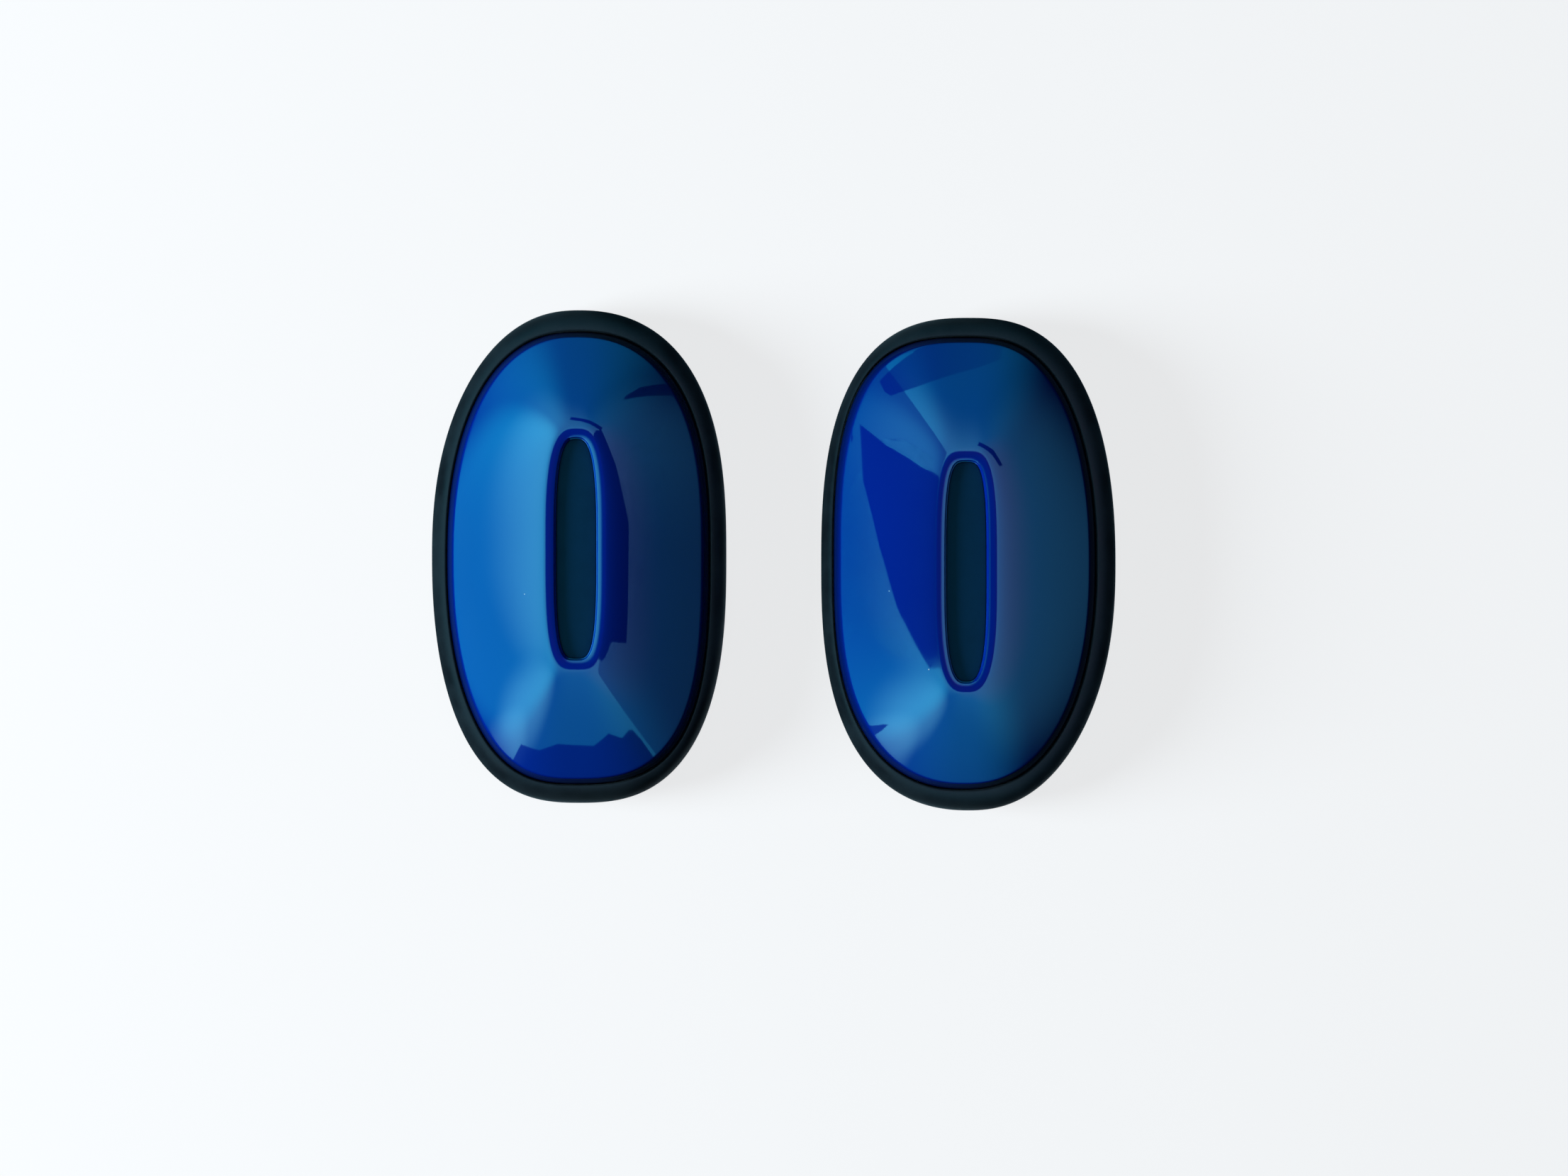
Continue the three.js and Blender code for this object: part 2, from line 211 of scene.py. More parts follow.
def makeLamp(name, settings):
    light = bpy.data.lights.new(name, "AREA")
    light.shape = "DISK"
    light.size = settings["size"]
    light.color = linear(settings["colour"])
    # at this power, white paper facing a small disk from this distance looks as bright as the setting says
    light.energy = settings["brightness"] * (math.pi * lampDistance) ** 2
    lamp = bpy.data.objects.new(name, light)
    toLamp = Vector(settings["toLamp"]).normalized()
    lamp.location = toLamp * lampDistance
    lamp.rotation_euler = toLamp.to_track_quat("Z", "Y").to_euler()
    lamp.visible_camera = lamp.visible_glossy = False
    bpy.context.collection.objects.link(lamp)


def bareMaterial(name):
    material = bpy.data.materials.new(name)
    material.use_nodes = True
    material.node_tree.nodes.clear()
    return material, material.node_tree


# Shows a shader by this share, over nothing at all, so that a sheet can be one-sided or a veil.
def overNothing(tree, shader, share):
    clear = addNode(tree, "ShaderNodeBsdfTransparent")
    both = addNode(tree, "ShaderNodeMixShader", None,
                   {0: share, 1: clear.outputs[0], 2: shader.outputs[0]})
    addNode(tree, "ShaderNodeOutputMaterial", None, {"Surface": both.outputs[0]})


# The share where a sheet's front is seen, and nothing from its back.
def showsFront(tree, share):
    isBack = addNode(tree, "ShaderNodeNewGeometry").outputs["Backfacing"]
    return addNode(tree, "ShaderNodeMath", {"operation": "SUBTRACT", 0: 1.0, "use_clamp": True},
                   {**({0: share} if share else {}), 1: isBack}).outputs[0]


def makeFloor(settings):
    reach = settings["floorSize"] / 2
    mesh = bpy.data.meshes.new("floor")
    mesh.from_pydata([(-reach, -reach, 0), (reach, -reach, 0), (reach, reach, 0), (-reach, reach, 0)], [],
                     [(0, 1, 2, 3)])
    floor = bpy.data.objects.new("floor", mesh)
    bpy.context.collection.objects.link(floor)
    material, tree = bareMaterial("lightTable")
    shader = addNode(tree, "ShaderNodeBsdfPrincipled", {
        "Base Color": opaque(settings["floor"]), "Roughness": settings["floorRough"],
        "Specular IOR Level": 0.0,
        "Emission Color": opaque(settings["backdrop"]), "Emission Strength": settings["floorGlow"]})
    overNothing(tree, shader, showsFront(tree, None))
    mesh.materials.append(material)
    # it glows as a light table does, lights nothing, and lets the lamp under it through
    floor.visible_diffuse = floor.visible_glossy = floor.visible_shadow = False


# A card is black on one side and not there from the other.
def makeCard(name, settings):
    mesh = bpy.data.meshes.new(name)
    corners = [[mm * value for value in corner] for corner in settings["outline"]]
    for corner in corners:
        corner.insert(settings["axis"], settings["at"] * mm)
    mesh.from_pydata(corners, [], [tuple(range(len(corners)))])
    blackCard = bpy.data.objects.new(name, mesh)
    bpy.context.collection.objects.link(blackCard)
    material, tree = bareMaterial(name + "Paper")
    place = addNode(tree, "ShaderNodeSeparateXYZ", None,
                    {0: addNode(tree, "ShaderNodeTexCoord").outputs["Object"]})
    along = place.outputs["Y" if settings["axis"] == 0 else "X"]
    clearAt, fullAt, share = settings["fade"]
    veil = addNode(tree, "ShaderNodeMapRange", {
        "interpolation_type": "SMOOTHSTEP", "From Min": clearAt * mm, "From Max": fullAt * mm,
        "To Max": share}, {"Value": along})
    black = addNode(tree, "ShaderNodeEmission", {"Strength": 0.0})
    overNothing(tree, black, showsFront(tree, veil.outputs[0]))
    mesh.materials.append(material)
    blackCard.visible_camera = blackCard.visible_diffuse = blackCard.visible_shadow = False


# Every material starts here. place is the object's own coordinates, in metres.
def newMaterial(name, settings):
    material, tree = bareMaterial(name)
    shader = addNode(tree, "ShaderNodeBsdfPrincipled", settings)
    addNode(tree, "ShaderNodeOutputMaterial", None, {"Surface": shader.outputs[0]})
    place = addNode(tree, "ShaderNodeTexCoord").outputs["Object"]
    return material, tree, shader, place


makeRoom(room)
for name, lamp in lamps.items():
    makeLamp(name, lamp)
makeFloor(room)
for name, card in cards.items():
    makeCard(name, card)
bpy.context.scene.view_settings.view_transform = "Standard"
print("camera, lights and floor ready")


polish = {
    "ior": 1.52, "specular": 0.6, "specularTint": "#70e8ff", "colour": "#02299b", "deeper": "#022592",
    "edge": "#00134e", "paintedShadeUpTo": 3, "paintedShadeClearFrom": 13,  # edge is a painted shade on the lip, steep band and shoulder, full up to the one ring and gone from the other; rings, counted up from the lip
    "waveSize": 16 * mm, "waveHeight": 0.012 * mm,
    "tintSize": 44 * mm, "smudgeSize": 22 * mm, "smudges": (0.35, 0.75), "gloss": 0.035, "smudged": 0.075,
    "dustSpacing": 5 * mm, "dustShare": 0.06, "dustRadius": 0.035, "dust": "#c9d6e6", "dustRough": 0.8,
}


# Polished ABS, coloured through: a deep even blue under a wet gloss, with painted shade darkening it
# towards the lip. The eye sees slow waviness in what it mirrors, faint smudges and a few specks of dust.
def polishedAbs(name):
    material, tree, shader, place = newMaterial(name, {
        "IOR": polish["ior"], "Specular IOR Level": polish["specular"],
        "Specular Tint": opaque(polish["specularTint"])})
    tint = addNode(tree, "ShaderNodeTexNoise", {"Scale": 1 / polish["tintSize"], "Detail": 1},
                   {"Vector": place})
    plain = addNode(tree, "ShaderNodeMix", {"data_type": "RGBA", 6: opaque(polish["colour"]),
                                            7: opaque(polish["deeper"])}, {0: tint.outputs["Fac"]})
    # painted shade: the blue darkens to the edge colour on the rings nearest the lip, as if in the rim's
    # shade
    ring = addNode(tree, "ShaderNodeAttribute", {"attribute_name": "ring"})
    unshadedShare = addNode(tree, "ShaderNodeMapRange",
                    {"From Min": polish["paintedShadeUpTo"], "From Max": polish["paintedShadeClearFrom"]},
                    {"Value": ring.outputs["Fac"]})
    base = addNode(tree, "ShaderNodeMix", {"data_type": "RGBA", 6: opaque(polish["edge"])},
                   {0: unshadedShare.outputs[0], 7: plain.outputs[2]})
    cells = addNode(tree, "ShaderNodeTexVoronoi", {"Scale": 1 / polish["dustSpacing"]}, {"Vector": place})
    chosen = addNode(tree, "ShaderNodeSeparateColor", None, {0: cells.outputs["Color"]})
    isChosen = addNode(tree, "ShaderNodeMath", {"operation": "LESS_THAN", 1: polish["dustShare"]},
                       {0: chosen.outputs[0]})
    isNear = addNode(tree, "ShaderNodeMath", {"operation": "LESS_THAN", 1: polish["dustRadius"]},
                     {0: cells.outputs["Distance"]})
    speck = addNode(tree, "ShaderNodeMath", {"operation": "MULTIPLY"},
                    {0: isChosen.outputs[0], 1: isNear.outputs[0]})
    dusty = addNode(tree, "ShaderNodeMix", {"data_type": "RGBA", 7: opaque(polish["dust"])},
                    {0: speck.outputs[0], 6: base.outputs[2]})
    tree.links.new(dusty.outputs[2], shader.inputs["Base Color"])
    smudge = addNode(tree, "ShaderNodeTexNoise", {"Scale": 1 / polish["smudgeSize"], "Detail": 4},
                     {"Vector": place})
    rough = addNode(tree, "ShaderNodeMapRange", {
        "From Min": polish["smudges"][0], "From Max": polish["smudges"][1],
        "To Min": polish["gloss"], "To Max": polish["smudged"]}, {"Value": smudge.outputs["Fac"]})
    dull = addNode(tree, "ShaderNodeMix", {3: polish["dustRough"]},
                   {0: speck.outputs[0], 2: rough.outputs[0]})
    tree.links.new(dull.outputs[0], shader.inputs["Roughness"])
    wave = addNode(tree, "ShaderNodeTexNoise", {"Scale": 1 / polish["waveSize"], "Detail": 1.5,
                                                "Roughness": 0.35}, {"Vector": place})
    bump = addNode(tree, "ShaderNodeBump", {"Strength": 1, "Distance": polish["waveHeight"]},
                   {"Height": wave.outputs["Fac"]})
    tree.links.new(bump.outputs[0], shader.inputs["Normal"])
    return material


# Two tones in soft patches, a roughness that follows them and a fine raised grain.
def mottled(name, look):
    material, tree, shader, place = newMaterial(name, look["shader"])
    patch = addNode(tree, "ShaderNodeTexNoise",
                    {"Scale": 1 / look["patch"], "Detail": 5, "Roughness": 0.6}, {"Vector": place})
    share = addNode(tree, "ShaderNodeMapRange", {"From Min": 0.35, "From Max": 0.7},
                    {"Value": patch.outputs["Fac"]})
    base = addNode(tree, "ShaderNodeMix", {"data_type": "RGBA", 6: opaque(look["colour"]),
                                           7: opaque(look["other"])}, {0: share.outputs[0]})
    tree.links.new(base.outputs[2], shader.inputs["Base Color"])
    rough = addNode(tree, "ShaderNodeMapRange", {"To Min": look["rough"][0], "To Max": look["rough"][1]},
                    {"Value": share.outputs[0]})
    tree.links.new(rough.outputs[0], shader.inputs["Roughness"])
    grain = addNode(tree, "ShaderNodeTexNoise", {"Scale": 1 / look["grain"], "Detail": 3},
                    {"Vector": place})
    bump = addNode(tree, "ShaderNodeBump", {"Strength": 0.7, "Distance": look["relief"]},
                   {"Height": grain.outputs["Fac"]})
    tree.links.new(bump.outputs[0], shader.inputs["Normal"])
    return material


# A soft-touch insert, moulded against a spark-eroded steel face: dull, finely pebbled slate blue.
softTouch = {
    "shader": {"IOR": 1.48, "Specular IOR Level": 0.08, "Specular Tint": opaque("#50e0ff")},
    "colour": "#072542", "other": "#092b4b", "patch": 9 * mm, "rough": (0.48, 0.64),
    "grain": 0.35 * mm, "relief": 0.02 * mm}

# Moulded thermoplastic rubber: near black with a bluish cast, a dull sheen where light grazes it,
# a fine grain and a little dust that clings in patches.
rubber = {
    "shader": {"IOR": 1.5, "Specular IOR Level": 0.13, "Specular Tint": opaque("#d4ecff"),
               "Sheen Weight": 0.1, "Sheen Roughness": 0.5, "Sheen Tint": opaque("#a8cfdc")},
    "colour": "#0a1117", "other": "#161f25", "patch": 12 * mm, "rough": (0.46, 0.66),
    "grain": 0.5 * mm, "relief": 0.03 * mm}

# Moulded ABS with a spark-eroded face: charcoal, satin, with a leathery grain.
trayPlastic = {
    "shader": {"IOR": 1.53}, "colour": "#15181b", "other": "#1d2124",
    "patch": 18 * mm, "rough": (0.42, 0.58), "grain": 0.6 * mm, "relief": 0.05 * mm}

# Pressed silicone cord: brick red, slightly waxy, with pale talc in its patches.
silicone = {
    "shader": {"IOR": 1.41, "Subsurface Weight": 0.1, "Subsurface Scale": 0.8 * mm},
    "colour": "#a83a2c", "other": "#b8564a", "patch": 6 * mm, "rough": (0.35, 0.6),
    "grain": 0.4 * mm, "relief": 0.01 * mm}

# Double-sided acrylic tape: milky, faintly yellow, with a soft orange-peel face.
acrylicTape = {
    "shader": {"IOR": 1.47, "Subsurface Weight": 0.2, "Subsurface Scale": 0.5 * mm},
    "colour": "#bfc1bb", "other": "#cdccc0", "patch": 8 * mm, "rough": (0.25, 0.4),
    "grain": 1.2 * mm, "relief": 0.02 * mm}

# Needle-punched polyester felt: charcoal fibres with paler ones among them, fuzzy and quite dull.
feltCloth = {
    "shader": {"IOR": 1.5, "Specular IOR Level": 0.25, "Sheen Weight": 0.5, "Sheen Roughness": 0.6,
               "Sheen Tint": opaque("#8f979c")},
    "colour": "#202427", "other": "#3b4146", "patch": 0.9 * mm, "rough": (0.85, 0.98),
    "grain": 0.25 * mm, "relief": 0.12 * mm}

# Crimped nylon scrub fibres in a resin binder: near black, each with a thin dull shine.
scrubNylon = {
    "shader": {"IOR": 1.53, "Sheen Weight": 0.2, "Sheen Roughness": 0.5, "Sheen Tint": opaque("#7d8488")},
    "colour": "#14171a", "other": "#262b2f", "patch": 1.6 * mm, "rough": (0.5, 0.8),
    "grain": 0.3 * mm, "relief": 0.1 * mm}

# Extruded nylon hook tape: black, smooth and slightly shiny.
hookNylon = {
    "shader": {"IOR": 1.53}, "colour": "#1b1e21", "other": "#24282c",
    "patch": 7 * mm, "rough": (0.35, 0.5), "grain": 0.5 * mm, "relief": 0.01 * mm}


# Plated or turned metal: fine lines run along one axis and change its shine a little.
def linedMetal(name, look):
    material, tree, shader, place = newMaterial(name, {"Metallic": 1.0})
    along = addNode(tree, "ShaderNodeMapping", {"Scale": look["stretch"]}, {"Vector": place})
    lines = addNode(tree, "ShaderNodeTexNoise", {"Scale": 1 / look["lines"], "Detail": 4},
                    {"Vector": along.outputs[0]})
    cloud = addNode(tree, "ShaderNodeTexNoise", {"Scale": 1 / look["cloud"], "Detail": 3},
                    {"Vector": place})
    base = addNode(tree, "ShaderNodeMix", {"data_type": "RGBA", 6: opaque(look["colour"]),
                                           7: opaque(look["other"])}, {0: cloud.outputs["Fac"]})
    tree.links.new(base.outputs[2], shader.inputs["Base Color"])
    rough = addNode(tree, "ShaderNodeMapRange", {"To Min": look["rough"][0], "To Max": look["rough"][1]},
                    {"Value": lines.outputs["Fac"]})
    tree.links.new(rough.outputs[0], shader.inputs["Roughness"])
    bump = addNode(tree, "ShaderNodeBump", {"Strength": 0.4, "Distance": look["relief"]},
                   {"Height": lines.outputs["Fac"]})
    tree.links.new(bump.outputs[0], shader.inputs["Normal"])
    return material


# Bright nickel over the magnets: warm, cloudy and fairly sharp in what it mirrors.
nickel = {"colour": "#b9b3a8", "other": "#cbc6bc", "stretch": (1, 0.2, 1), "lines": 0.3 * mm,
          "cloud": 7 * mm, "rough": (0.16, 0.34), "relief": 0.003 * mm}
# Dull zinc on the punched plate: grey spangles and lines across it.
zinc = {"colour": "#a3a8ad", "other": "#c0c4c6", "stretch": (0.1, 1, 1), "lines": 0.4 * mm,
        "cloud": 3 * mm, "rough": (0.28, 0.5), "relief": 0.006 * mm}
# Stainless steel: bright, with faint lines along the screws.
stainless = {"colour": "#c2c3c4", "other": "#d0d0ce", "stretch": (1, 1, 0.2), "lines": 0.25 * mm,
             "cloud": 2 * mm, "rough": (0.2, 0.36), "relief": 0.004 * mm}

foamLook = {"colour": "#d9d8d0", "pitShade": "#a5a49b", "cell": 0.9 * mm, "relief": 0.15 * mm,
            "scatter": 1.0 * mm}


# Closed-cell polyethylene foam: off-white cells, cut open where a block was sliced, with painted shade
# darkening the hollow of each cell.
def cellFoam():
    material, tree, shader, place = newMaterial("closedCellFoam", {
        "IOR": 1.5, "Roughness": 0.85, "Subsurface Weight": 0.15,
        "Subsurface Scale": foamLook["scatter"]})
    cells = addNode(tree, "ShaderNodeTexVoronoi", {"Scale": 1 / foamLook["cell"]}, {"Vector": place})
    # painted shade: each cell's sunken middle takes the darker pit colour, and its walls stay pale
    wall = addNode(tree, "ShaderNodeMapRange", {"From Min": 0.1, "From Max": 0.6},
                   {"Value": cells.outputs["Distance"]})
    base = addNode(tree, "ShaderNodeMix", {"data_type": "RGBA", 6: opaque(foamLook["pitShade"]),
                                           7: opaque(foamLook["colour"])}, {0: wall.outputs[0]})
    tree.links.new(base.outputs[2], shader.inputs["Base Color"])
    bump = addNode(tree, "ShaderNodeBump", {"Strength": 0.8, "Distance": foamLook["relief"]},
                   {"Height": wall.outputs[0]})
    tree.links.new(bump.outputs[0], shader.inputs["Normal"])
    return material


# A geometry tree with named inputs, and how each one ends: smooth, real and of one material.
def newTree(name, sockets):
    tree = bpy.data.node_groups.new(name, "GeometryNodeTree")
    tree.is_modifier = True
    tree.interface.new_socket("Geometry", in_out="OUTPUT", socket_type="NodeSocketGeometry")
    for socket, kind in {"Geometry": "Geometry", **sockets, "Material": "Material"}.items():
        tree.interface.new_socket(socket, in_out="INPUT", socket_type="NodeSocket" + kind)
    return tree, addNode(tree, "NodeGroupInput").outputs


def endTree(tree, given, geometry):
    smooth = addNode(tree, "GeometryNodeSetShadeSmooth", None, {"Geometry": geometry})
    real = addNode(tree, "GeometryNodeRealizeInstances", None, {"Geometry": smooth.outputs[0]})
    coated = addNode(tree, "GeometryNodeSetMaterial", None,
                     {"Geometry": real.outputs[0], "Material": given["Material"]})
    addNode(tree, "NodeGroupOutput", None, {0: coated.outputs[0]})


# A loft through oval rings. The mesh it starts from has one point for each ring: x is the ring's
# width, y its length and z its height, and the attribute "mix" runs from the first squareness, at 0,
# to the last, at 1.
def ovalLoftTree():
    tree, given = newTree("ovalLoft", {
        "Segments": "Int", "First Squareness": "Vector", "First Twist": "Float",
        "Last Squareness": "Vector", "Last Twist": "Float", "Last Shift": "Vector",
        "Place": "Vector", "Turn": "Vector"})
    count = addNode(tree, "GeometryNodeAttributeDomainSize", None,
                    {"Geometry": given["Geometry"]}).outputs["Point Count"]
    around = addNode(tree, "ShaderNodeMath", {"operation": "ADD", 1: 1}, {0: given["Segments"]})
    grid = addNode(tree, "GeometryNodeMeshGrid", {"Size X": 1, "Size Y": 1},
                   {"Vertices X": count, "Vertices Y": around.outputs[0]})
    spot = addNode(tree, "ShaderNodeSeparateXYZ", None,
                   {0: addNode(tree, "GeometryNodeInputPosition").outputs[0]})
    last = addNode(tree, "ShaderNodeMath", {"operation": "SUBTRACT", 1: 1}, {0: count})
    share = addNode(tree, "ShaderNodeMath", {"operation": "ADD", 1: 0.5}, {0: spot.outputs["X"]})
    level = addNode(tree, "ShaderNodeMath", {"operation": "MULTIPLY"},
                    {0: share.outputs[0], 1: last.outputs[0]})
    ringIndex = addNode(tree, "ShaderNodeMath", {"operation": "ROUND"}, {0: level.outputs[0]}).outputs[0]
    ring = addNode(tree, "GeometryNodeSampleIndex", {"data_type": "FLOAT_VECTOR"},
                   {"Geometry": given["Geometry"], "Index": ringIndex,
                    "Value": addNode(tree, "GeometryNodeInputPosition").outputs[0]})
    size = addNode(tree, "ShaderNodeSeparateXYZ", None, {0: ring.outputs[0]}).outputs
    mixName = addNode(tree, "GeometryNodeInputNamedAttribute", {"data_type": "FLOAT", "Name": "mix"})
    mix = addNode(tree, "GeometryNodeSampleIndex", {"data_type": "FLOAT"},
                  {"Geometry": given["Geometry"], "Index": ringIndex,
                   "Value": mixName.outputs[0]}).outputs[0]
    turn = addNode(tree, "ShaderNodeMath", {"operation": "MULTIPLY_ADD", 1: 2 * math.pi, 2: math.pi},
                   {0: spot.outputs["Y"]}).outputs[0]
    across = addNode(tree, "ShaderNodeMath", {"operation": "COSINE"}, {0: turn}).outputs[0]
    along = addNode(tree, "ShaderNodeMath", {"operation": "SINE"}, {0: turn}).outputs[0]
    # the power of the superellipse at this turn
    basis = addNode(tree, "ShaderNodeCombineXYZ", {"X": 1}, {"Y": across, "Z": along})
    squareness = addNode(tree, "ShaderNodeMix", {"data_type": "VECTOR"},
                         {0: mix, 4: given["First Squareness"], 5: given["Last Squareness"]})
    plain = addNode(tree, "ShaderNodeVectorMath", {"operation": "DOT_PRODUCT"},
                    {0: basis.outputs[0], 1: squareness.outputs[1]})
    twist = addNode(tree, "ShaderNodeMix", None,
                    {0: mix, 2: given["First Twist"], 3: given["Last Twist"]})
    double = addNode(tree, "ShaderNodeMath", {"operation": "MULTIPLY"}, {0: across, 1: along})
    doubled = addNode(tree, "ShaderNodeMath", {"operation": "MULTIPLY", 1: 2}, {0: double.outputs[0]})
    power = addNode(tree, "ShaderNodeMath", {"operation": "MULTIPLY_ADD"},
                    {0: twist.outputs[0], 1: doubled.outputs[0], 2: plain.outputs["Value"]}).outputs[0]
    # how far the outline reaches at this turn
    sides = []
    for side in (across, along):
        positive = addNode(tree, "ShaderNodeMath", {"operation": "ABSOLUTE"}, {0: side})
        raised = addNode(tree, "ShaderNodeMath", {"operation": "POWER"},
                         {0: positive.outputs[0], 1: power})
        sides.append(raised.outputs[0])
    total = addNode(tree, "ShaderNodeMath", {"operation": "ADD"}, {0: sides[0], 1: sides[1]})
    inverse = addNode(tree, "ShaderNodeMath", {"operation": "DIVIDE", 0: -1}, {1: power})
    reach = addNode(tree, "ShaderNodeMath", {"operation": "POWER"},
                    {0: total.outputs[0], 1: inverse.outputs[0]}).outputs[0]
    edges = []
    for extent, side in ((size["X"], across), (size["Y"], along)):
        edge = addNode(tree, "ShaderNodeMath", {"operation": "MULTIPLY"}, {0: extent, 1: side})
        edges.append(addNode(tree, "ShaderNodeMath", {"operation": "MULTIPLY"},
                             {0: edge.outputs[0], 1: reach}).outputs[0])
    spread = addNode(tree, "ShaderNodeCombineXYZ", None, {"X": edges[0], "Y": edges[1], "Z": size["Z"]})
    shift = addNode(tree, "ShaderNodeVectorMath", {"operation": "SCALE"},
                    {0: given["Last Shift"], "Scale": mix})
    final = addNode(tree, "ShaderNodeVectorMath", {"operation": "ADD"},
                    {0: spread.outputs[0], 1: shift.outputs[0]})
    ringed = addNode(tree, "GeometryNodeStoreNamedAttribute", {"data_type": "INT", "Name": "ring"},
                     {"Geometry": grid.outputs["Mesh"], "Value": ringIndex})
    moved = addNode(tree, "GeometryNodeSetPosition", None,
                    {"Geometry": ringed.outputs[0], "Position": final.outputs[0]})
    merged = addNode(tree, "GeometryNodeMergeByDistance", {"Distance": 0.001 * mm},
                     {"Geometry": moved.outputs[0]})
    placed = addNode(tree, "GeometryNodeTransform", None, {
        "Geometry": merged.outputs[0], "Translation": given["Place"], "Rotation": given["Turn"]})
    endTree(tree, given, placed.outputs[0])
    return tree


# Runs a tree on an object and leaves the result as a plain mesh, with its faces pointing out.
def applyTree(piece, tree, inputs):
    modifier = piece.modifiers.new(tree.name, "NODES")
    modifier.node_group = tree
    for item in tree.interface.items_tree:
        if item.in_out == "INPUT" and item.name in inputs:
            modifier[item.identifier] = inputs[item.name]
    graph = bpy.context.evaluated_depsgraph_get()
    mesh = bpy.data.meshes.new_from_object(piece.evaluated_get(graph), depsgraph=graph)
    piece.modifiers.remove(modifier)
    old = piece.data
    piece.data = mesh
    bpy.data.meshes.remove(old)
    mesh.name = piece.name
    work = bmesh.new()
    work.from_mesh(mesh)
    if work.calc_volume(signed=True) < 0:
        bmesh.ops.reverse_faces(work, faces=work.faces)
    work.to_mesh(mesh)
    work.free()
    return piece


ovalLoft = ovalLoftTree()


# rings is a list of (width, length, height, mix).
def loftPiece(name, rings, half, material, segments, last):
    mesh = bpy.data.meshes.new(name)
    mesh.from_pydata([ring[:3] for ring in rings], [], [])
    mesh.attributes.new("mix", "FLOAT", "POINT").data.foreach_set("value", [ring[3] for ring in rings])
    piece = bpy.data.objects.new(name, mesh)
    bpy.context.collection.objects.link(piece)
    return applyTree(piece, ovalLoft, {
        "Segments": segments, "Place": half["place"], "Turn": (0.0, 0.0, half["turn"]),
        "First Squareness": capSquareness, "First Twist": capTwist,
        "Last Squareness": last["squareness"], "Last Twist": last["twist"], "Last Shift": last["shift"],
        "Material": material})


def between(start, end, share):
    return start + (end - start) * share


def turnsTo(angle, steps):
    return [angle * i / steps for i in range(steps + 1)]


shell = {
    "segments": 200, "bandAcross": 1.7 * mm, "bandAlong": 1.5 * mm,
    "bandBottom": 15 * mm, "bandTop": 19.5 * mm, "steepness": 1.35,
    "slotWidth": 5.6 * mm, "slotLength": 28.9 * mm, "slotShift": 2.3 * mm,
    "land": 2.2 * mm, "landDrop": 0.1 * mm, "slotRound": 0.32 * mm,
    "ledge": 0.35 * mm, "ledgeDepth": 1.95 * mm,
    "slotDepth": 3.4 * mm, "wall": 2.2 * mm, "domeWall": 2.4 * mm,
    "shoulder": 0.02, "shoulderStart": 0.94, "lipRound": 0.25 * mm,
    "bandSteps": 6, "shoulderSteps": 6, "domeSteps": 44, "landSteps": 8, "roundSteps": 8,
    "ledgeSteps": 6, "insideSteps": 8,
}
slotOutline = {"squareness": slotSquareness, "twist": 0.0, "shift": (0.0, shell["slotShift"], 0.0)}


# A ring of the dome at this share of the way in to the land, or of a smaller dome inside it.
def domeRing(share, inset, sunk):
    rise = 1 - (1 - share) ** shell["steepness"]
    width = between(capWidth - shell["bandAcross"] - inset, shell["slotWidth"] + shell["land"], share)
    length = between(capLength - shell["bandAlong"] - inset, shell["slotLength"] + shell["land"], share)
    return (width, length, between(shell["bandTop"], crest, rise) - sunk, share)


# A ring of the steep band under the dome, from its bottom to its top.
def bandRing(share):
    width = capWidth - shell["bandAcross"] * share
    length = capLength - shell["bandAlong"] * share
    return (width, length, between(shell["bandBottom"], shell["bandTop"], share), 0.0)


# A ring this far outside the slot's outline.
def slotRing(outset, height):
    return (shell["slotWidth"] + outset, shell["slotLength"] + outset, height, 1.0)


